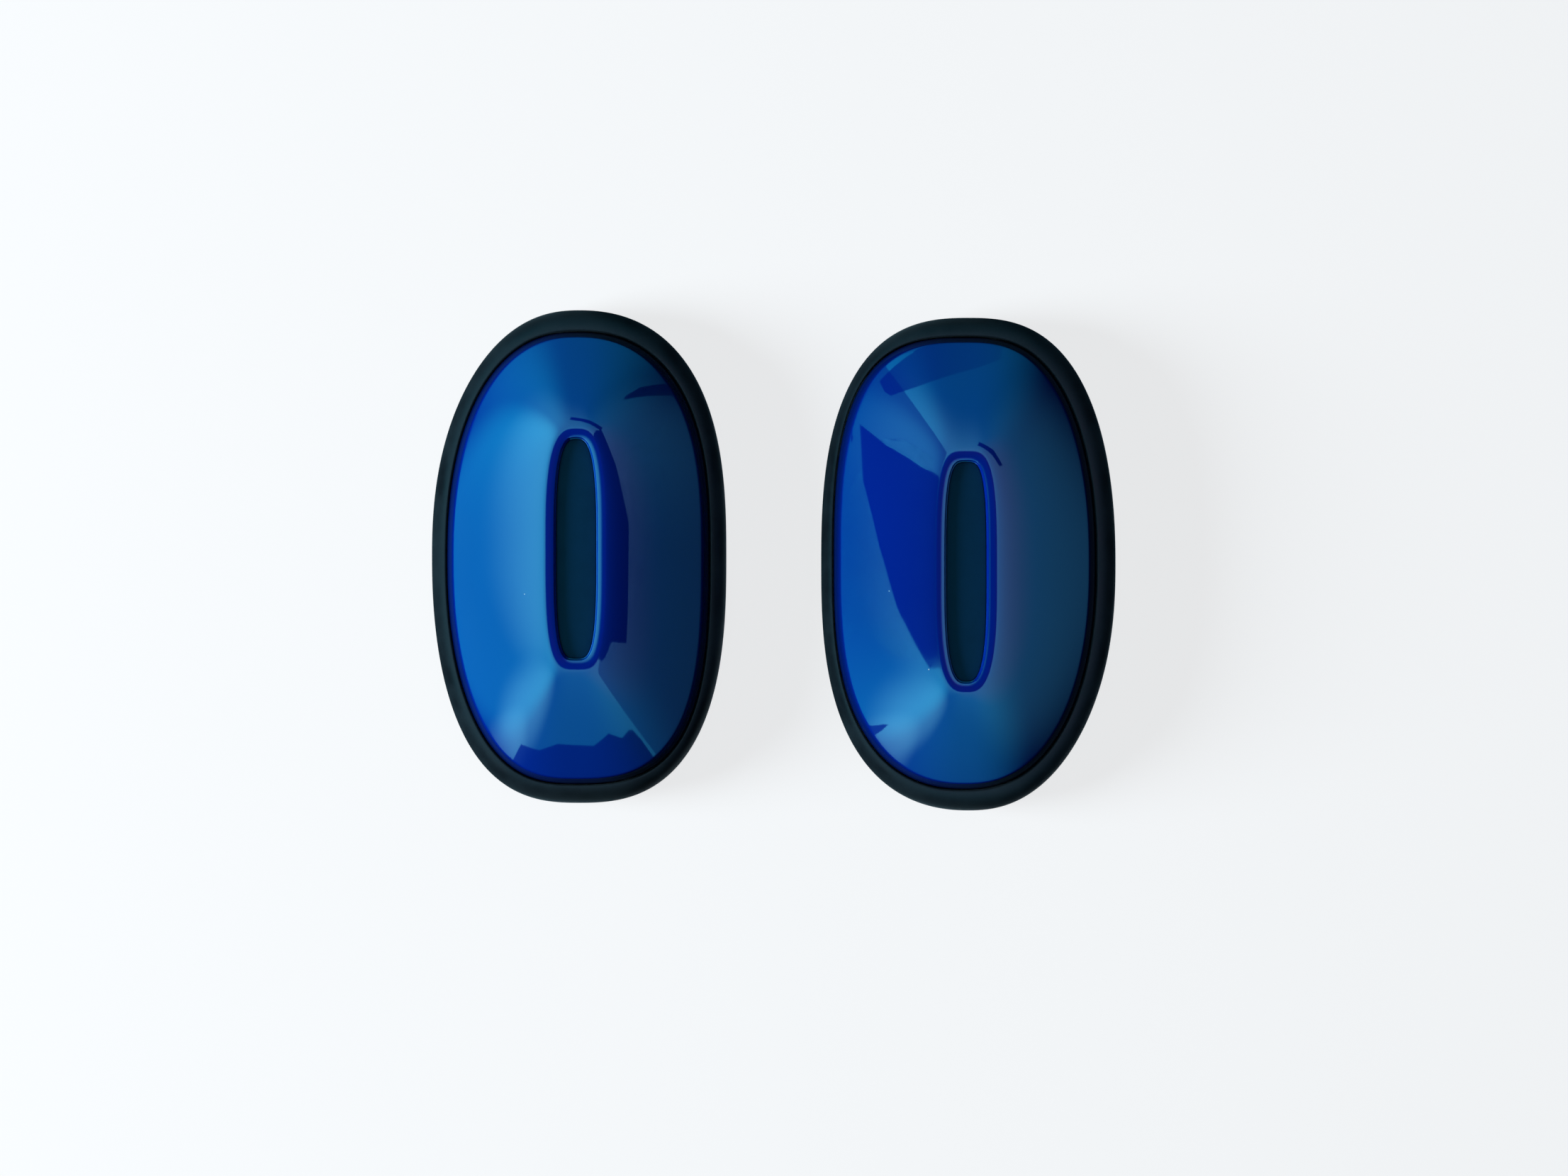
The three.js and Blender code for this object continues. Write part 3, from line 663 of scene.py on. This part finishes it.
# The glossy shell: lip, steep band, rounded shoulder, dome, flat land round the slot, and inside.
def shellRings():
    lip = shell["lipRound"]
    rings = [(capWidth - lip, capLength - lip, lipBottom, 0.0),
             (capWidth, capLength, lipBottom + lip, 0.0)]
    shoulder, bandEnd = shell["shoulder"], shell["shoulderStart"]
    rings += [bandRing(bandEnd * i / shell["bandSteps"]) for i in range(shell["bandSteps"] + 1)]
    # the shoulder is a quadratic curve from the band to the dome
    start, corner, end = bandRing(bandEnd), bandRing(1), domeRing(shoulder, 0, 0)
    for i in range(1, shell["shoulderSteps"]):
        t = i / shell["shoulderSteps"]
        rings.append(tuple(a * (1 - t) ** 2 + 2 * b * t * (1 - t) + c * t ** 2
                           for a, b, c in zip(start, corner, end)))
    steps = shell["domeSteps"]
    rings += [domeRing(between(shoulder, 1, i / steps), 0, 0) for i in range(steps + 1)]
    # a nearly flat land around the slot, then a tight round edge
    landEnd = crest - shell["landDrop"]
    for i in range(1, shell["landSteps"] + 1):
        t = i / shell["landSteps"]
        rings.append(slotRing(between(shell["land"], shell["slotRound"], t),
                              crest - shell["landDrop"] * t ** 2))
    for turn in turnsTo(math.pi / 2, shell["roundSteps"])[1:]:
        rings.append(slotRing(shell["slotRound"] * (1 - math.sin(turn)),
                              landEnd - shell["slotRound"] * (1 - math.cos(turn))))
    # a small ledge with a hollow corner, which the insert's edge meets
    ledge, ledgeHeight = shell["ledge"], crest - shell["ledgeDepth"]
    for turn in turnsTo(math.pi / 2, shell["ledgeSteps"]):
        rings.append(slotRing(-ledge * (1 - math.cos(turn)), ledgeHeight + ledge * (1 - math.sin(turn))))
    rings.append(slotRing(-ledge, ledgeHeight - ledge))
    rings.append(slotRing(0, ledgeHeight - ledge))
    rings.append(slotRing(0, crest - shell["slotDepth"] + lip))
    rings.append(slotRing(lip, crest - shell["slotDepth"]))
    for i in range(shell["insideSteps"] + 1):
        rings.append(domeRing(1 - i / shell["insideSteps"], shell["wall"] / 2, shell["domeWall"]))
    wall = shell["wall"]
    rings.append((capWidth - wall, capLength - wall, shell["bandBottom"], 0.0))
    rings.append((capWidth - wall, capLength - wall, lipBottom, 0.0))
    rings.append(rings[0])
    return rings


def makeShell(prefix, half, material):
    name = prefix + "_shell"
    piece = loftPiece(name, shellRings(), half, material, shell["segments"], slotOutline)
    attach(piece, half["body"])
    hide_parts(prefix + "_cover")


insert = {"segments": 144, "flange": 1.6 * mm, "gap": 0.35 * mm, "flangeThickness": 1.3 * mm,
          "sunk": 1.9 * mm, "edgeGap": 0.42 * mm, "edgeRound": 0.2 * mm, "crown": 0.12 * mm,
          "edgeSteps": 5, "faceSteps": 8}


# The insert: a flange that holds it from below, straight sides, a round edge and a slightly crowned face.
def insertRings():
    gap, edge = insert["edgeGap"], insert["edgeRound"]
    top = crest - shell["slotDepth"] - insert["gap"]
    face = crest - insert["sunk"]
    bottom = top - insert["flangeThickness"]
    rings = [(0.0, 0.0, bottom, 1.0), slotRing(insert["flange"], bottom), slotRing(insert["flange"], top),
             slotRing(-gap, top)]
    rim = face - insert["crown"]
    for turn in turnsTo(math.pi / 2, insert["edgeSteps"]):
        rings.append(slotRing(-gap - edge * (1 - math.cos(turn)), rim - edge * (1 - math.sin(turn))))
    width, length = rings[-1][:2]
    for i in range(1, insert["faceSteps"] + 1):
        share = 1 - i / insert["faceSteps"]
        crown = insert["crown"] * (1 - share ** 2)
        rings.append((width * share, length * share, rim + crown, 1.0))
    return rings


def makeInsert(prefix, half, material):
    name = prefix + "_insert"
    piece = loftPiece(name, insertRings(), half, material, insert["segments"], slotOutline)
    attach(piece, half["body"])
    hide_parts(prefix + "_grip_insert")


rimLow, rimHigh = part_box("outer_bumper")
rim = {"segments": 200, "clearance": 0.35 * mm, "width": (rimHigh.x - rimLow.x) / 2,
       "length": (rimHigh.y - rimLow.y) / 2, "bottom": rimLow.z, "top": rimHigh.z, "widest": 7.4 * mm,
       "underReach": 0.62, "lineHeight": 0.012, "lineHalf": 0.25 * mm, "faceSteps": 26, "underSteps": 8,
       "topReach": 0.06, "topDrop": 0.3 * mm}


# A ring between the cap, at share 0, and the rim's own outline, at share 1.
def rimRing(share, height):
    inner = rim["clearance"]
    return (between(capWidth + inner, rim["width"], share),
            between(capLength + inner, rim["length"], share), height, share)


# The rubber rim: rolled under, a thin parting line where it is widest, then a round face up to the cap.
def rimRings():
    widest, line, flat = rim["widest"], rim["lineHalf"], 1 - rim["lineHeight"]
    rings = [rimRing(0, rim["bottom"]), rimRing(rim["underReach"], rim["bottom"])]
    for turn in turnsTo(math.pi / 2, rim["underSteps"])[1:]:
        share = rim["underReach"] + (flat - rim["underReach"]) * math.sin(turn)
        rings.append(rimRing(share, between(rim["bottom"], widest - line, 1 - math.cos(turn))))
    rings += [rimRing(1, widest - line / 2), rimRing(1, widest + line / 2)]
    # the face stops two rings short, for a small bevel against the cap
    for turn in turnsTo(math.pi / 2, rim["faceSteps"])[:-2]:
        height = between(widest + line, rim["top"], math.sin(turn))
        rings.append(rimRing(flat * math.cos(turn), height))
    rings += [rimRing(rim["topReach"], rim["top"]), rimRing(0, rim["top"] - rim["topDrop"]),
              rimRing(0, rim["bottom"])]
    return rings


def makeRim(prefix, half, material):
    name = prefix + "_rim"
    last = {"squareness": rimSquareness, "twist": rimTwist, "shift": half["rimShift"]}
    piece = loftPiece(name, rimRings(), half, material, rim["segments"], last)
    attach(piece, half["body"])
    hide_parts(prefix + "_bumper")


# Matted fibres over a surface: each arches out of it and back.
def fibreCoatTree():
    tree, given = newTree("fibreCoat", {
        "Density": "Float", "Seed": "Int", "Length": "Float", "Arch": "Float", "Radius": "Float",
        "Stray": "Float"})
    middle = addNode(tree, "ShaderNodeMath", {"operation": "MULTIPLY", 1: 0.5}, {0: given["Length"]})
    top = addNode(tree, "ShaderNodeCombineXYZ", None, {"X": middle.outputs[0], "Y": middle.outputs[0],
                                                       "Z": given["Arch"]})
    end = addNode(tree, "ShaderNodeCombineXYZ", None, {"X": given["Length"]})
    path = addNode(tree, "GeometryNodeCurveQuadraticBezier", {"Resolution": 4, "Start": (0.0, 0.0, 0.0)},
                   {"Middle": top.outputs[0], "End": end.outputs[0]})
    outline = addNode(tree, "GeometryNodeCurvePrimitiveCircle", {"Resolution": 3},
                      {"Radius": given["Radius"]})
    fibre = addNode(tree, "GeometryNodeCurveToMesh", {"Fill Caps": True},
                    {"Curve": path.outputs[0], "Profile Curve": outline.outputs[0]})
    spots = addNode(tree, "GeometryNodeDistributePointsOnFaces", None,
                    {"Mesh": given["Geometry"], "Density": given["Density"], "Seed": given["Seed"]})
    spin = addNode(tree, "FunctionNodeRandomValue",
                   {"data_type": "FLOAT_VECTOR", 0: (0.0, 0.0, 0.0), 1: (0.0, 0.0, 2 * math.pi)},
                   {"Seed": given["Seed"]})
    turned = addNode(tree, "FunctionNodeRotateRotation", {"rotation_space": "LOCAL"},
                     {"Rotation": spots.outputs["Rotation"], "Rotate By": spin.outputs[0]})
    # from half a fibre to a whole one
    size = addNode(tree, "FunctionNodeRandomValue", {"data_type": "FLOAT", 2: 0.5, 3: 1.0},
                   {"Seed": given["Seed"]})
    fibres = addNode(tree, "GeometryNodeInstanceOnPoints", None, {
        "Points": spots.outputs["Points"], "Instance": fibre.outputs[0], "Rotation": turned.outputs[0],
        "Scale": size.outputs[1]})
    # what would stray further out than Stray is matted back against the core
    real = addNode(tree, "GeometryNodeRealizeInstances", None, {"Geometry": fibres.outputs[0]})
    nearest = addNode(tree, "GeometryNodeProximity", {"target_element": "FACES"}, {0: given["Geometry"]})
    keep = addNode(tree, "ShaderNodeMath", {"operation": "DIVIDE", "use_clamp": True},
                   {0: given["Stray"], 1: nearest.outputs["Distance"]})
    spot = addNode(tree, "GeometryNodeInputPosition").outputs[0]
    matted = addNode(tree, "ShaderNodeMix", {"data_type": "VECTOR"},
                     {0: keep.outputs[0], 4: nearest.outputs["Position"], 5: spot})
    kept = addNode(tree, "GeometryNodeSetPosition", None,
                   {"Geometry": real.outputs[0], "Position": matted.outputs[1]})
    both = addNode(tree, "GeometryNodeJoinGeometry", None, {"Geometry": given["Geometry"]})
    tree.links.new(kept.outputs[0], both.inputs["Geometry"])
    endTree(tree, given, both.outputs[0])
    return tree


fibreCoat = fibreCoatTree()
capOutline = {"squareness": capSquareness, "twist": capTwist, "shift": (0.0, 0.0, 0.0)}
underside = {"segments": 160, "padEdgeSteps": 4, "stray": 0.9}  # stray is a share of a pad's core
pads = {
    "outer_felt_pad": {
        "half": "outer", "body": "outer_half", "slot": "felt", "core": 0.3 * mm, "edge": 0.6 * mm,
        "fill": 0.9, "Density": 0.5e6, "Seed": 3, "Length": 2.4 * mm, "Arch": 0.5 * mm,
        "Radius": 0.045 * mm},
    "inner_scrub_pad": {
        "half": "inner", "body": "scrub_pad", "slot": "scrub_fibre", "core": 0.4 * mm, "edge": 0.7 * mm,
        "fill": 0.7, "Density": 0.38e6, "Seed": 8, "Length": 5 * mm, "Arch": 0.7 * mm,
        "Radius": 0.09 * mm},
}


# A pad is a core with rounded edges, as thick as its box less the fibres that coat it. Settings with a
# capital are the fibre tree's own inputs.
def makePad(node, settings, material):
    low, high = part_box(node)
    core, edge = settings["core"], settings["edge"]
    width, length = (high.x - low.x) / 2 - core, (high.y - low.y) / 2 - core
    rings = [(0.0, 0.0, low.z + core, 0.0)]
    for side, middle in ((-1, low.z + core + edge), (1, high.z - core - edge)):
        for turn in turnsTo(math.pi / 2, underside["padEdgeSteps"])[::side]:
            out = edge * (1 - math.cos(turn))
            rings.append((width - out, length - out, middle + side * edge * math.sin(turn), 0.0))
    rings.append((0.0, 0.0, high.z - core, 0.0))
    piece = loftPiece(node + "_cloth", rings, halves[settings["half"]], material, underside["segments"],
                      capOutline)
    applyTree(piece, fibreCoat, {**settings, "Stray": underside["stray"] * core, "Material": material})
    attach(piece, settings["body"])
    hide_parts(node)


# The hook's curve is for a height of 1, margin is how many pitches the sheet's two edges take in all,
# and drop is how far below the sheet the rows stand.
hooks = {"pitch": 1.5 * mm, "height": 0.32 * mm, "radius": 0.06 * mm, "edge": 0.1 * mm, "margin": 2,
         "drop": 0.01 * mm,
         "curve": {"Start": (0.0, 0.0, 0.0), "Start Handle": (0.0, 0.0, -1.3),
                   "End Handle": (0.9, 0.0, -1.3), "End": (0.8, 0.0, -0.4)}}


# Rows of tiny hooks under a sheet, kept where a ray straight up meets it.
def hookRowsTree():
    tree, given = newTree("hookRows", {
        "Place": "Vector", "Size": "Vector", "Count": "Vector", "Height": "Float", "Radius": "Float"})
    size = addNode(tree, "ShaderNodeSeparateXYZ", None, {0: given["Size"]}).outputs
    count = addNode(tree, "ShaderNodeSeparateXYZ", None, {0: given["Count"]}).outputs
    grid = addNode(tree, "GeometryNodeMeshGrid", None, {
        "Size X": size["X"], "Size Y": size["Y"], "Vertices X": count["X"], "Vertices Y": count["Y"]})
    placed = addNode(tree, "GeometryNodeTransform", None,
                     {"Geometry": grid.outputs["Mesh"], "Translation": given["Place"]})
    ray = addNode(tree, "GeometryNodeRaycast", {"Ray Direction": (0.0, 0.0, 1.0), "Ray Length": 1.0},
                  {"Target Geometry": given["Geometry"]})
    path = addNode(tree, "GeometryNodeCurvePrimitiveBezierSegment", {"Resolution": 5, **hooks["curve"]})
    shape = addNode(tree, "GeometryNodeTransform", None,
                    {"Geometry": path.outputs[0], "Scale": given["Height"]})
    outline = addNode(tree, "GeometryNodeCurvePrimitiveCircle", {"Resolution": 4},
                      {"Radius": given["Radius"]})
    hook = addNode(tree, "GeometryNodeCurveToMesh", {"Fill Caps": True},
                   {"Curve": shape.outputs[0], "Profile Curve": outline.outputs[0]})
    # every other hook faces the other way
    other = addNode(tree, "ShaderNodeMath", {"operation": "MODULO", 1: 2},
                    {0: addNode(tree, "GeometryNodeInputIndex").outputs[0]})
    facing = addNode(tree, "ShaderNodeMath", {"operation": "MULTIPLY", 1: math.pi}, {0: other.outputs[0]})
    spin = addNode(tree, "ShaderNodeCombineXYZ", None, {"Z": facing.outputs[0]})
    rows = addNode(tree, "GeometryNodeInstanceOnPoints", None, {
        "Points": placed.outputs[0], "Instance": hook.outputs[0], "Selection": ray.outputs["Is Hit"],
        "Rotation": spin.outputs[0]})
    both = addNode(tree, "GeometryNodeJoinGeometry", None, {"Geometry": given["Geometry"]})
    tree.links.new(rows.outputs[0], both.inputs["Geometry"])
    endTree(tree, given, both.outputs[0])
    return tree


def makeHookSheet(material):
    low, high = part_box("inner_hook_sheet")
    width, length, edge = (high.x - low.x) / 2, (high.y - low.y) / 2, hooks["edge"]
    rings = [(0.0, 0.0, low.z, 0.0), (width - edge, length - edge, low.z, 0.0),
             (width, length, low.z + edge, 0.0), (width, length, high.z - edge, 0.0),
             (width - edge, length - edge, high.z, 0.0), (0.0, 0.0, high.z, 0.0)]
    piece = loftPiece("inner_hooks", rings, halves["inner"], material, underside["segments"], capOutline)
    margin = hooks["margin"] * hooks["pitch"]
    span = [2 * width - margin, 2 * length - margin, 0.0]
    applyTree(piece, hookRowsTree(), {
        "Place": (*halves["inner"]["place"][:2], low.z - hooks["drop"]), "Size": span,
        "Count": [side // hooks["pitch"] for side in span], "Height": hooks["height"],
        "Radius": hooks["radius"], "Material": material})
    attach(piece, "inner_half")
    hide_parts("inner_hook_sheet")


cobalt = polishedAbs("polishedAbsCobalt")
navy = mottled("softTouchInsert", softTouch)
black = mottled("mouldedRubber", rubber)
for prefix, half in halves.items():
    makeShell(prefix, half, cobalt)
    makeInsert(prefix, half, navy)
    makeRim(prefix, half, black)
print("shells, inserts and rims ready")

makePad("outer_felt_pad", pads["outer_felt_pad"], mottled("needledFelt", feltCloth))
makePad("inner_scrub_pad", pads["inner_scrub_pad"], mottled("scrubNylon", scrubNylon))
makeHookSheet(mottled("hookNylon", hookNylon))
print("pads and hook sheet ready")

plate = linedMetal("nickelPlate", nickel)
zincPlate = linedMetal("zincPlate", zinc)
screwSteel = linedMetal("stainlessSteel", stainless)
tray = mottled("texturedAbs", trayPlastic)
foam = cellFoam()
carried = {
    "base": tray, "magnet_front": plate, "magnet_rear": plate, "keeper_plate": zincPlate,
    "foam_spacer": foam, "float_front": foam, "float_rear": foam,
    "seal_ring": mottled("siliconeRed", silicone),
    "pad_adhesive": mottled("acrylicTape", acrylicTape),
    "screw_1": screwSteel, "screw_2": screwSteel, "screw_3": screwSteel, "screw_4": screwSteel,
}
for node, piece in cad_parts.items():
    material = carried.get(node.split("_", 1)[1])
    for materialSlot in piece.material_slots:
        materialSlot.material = material or materialSlot.material
print("carried-over nodes have their materials")
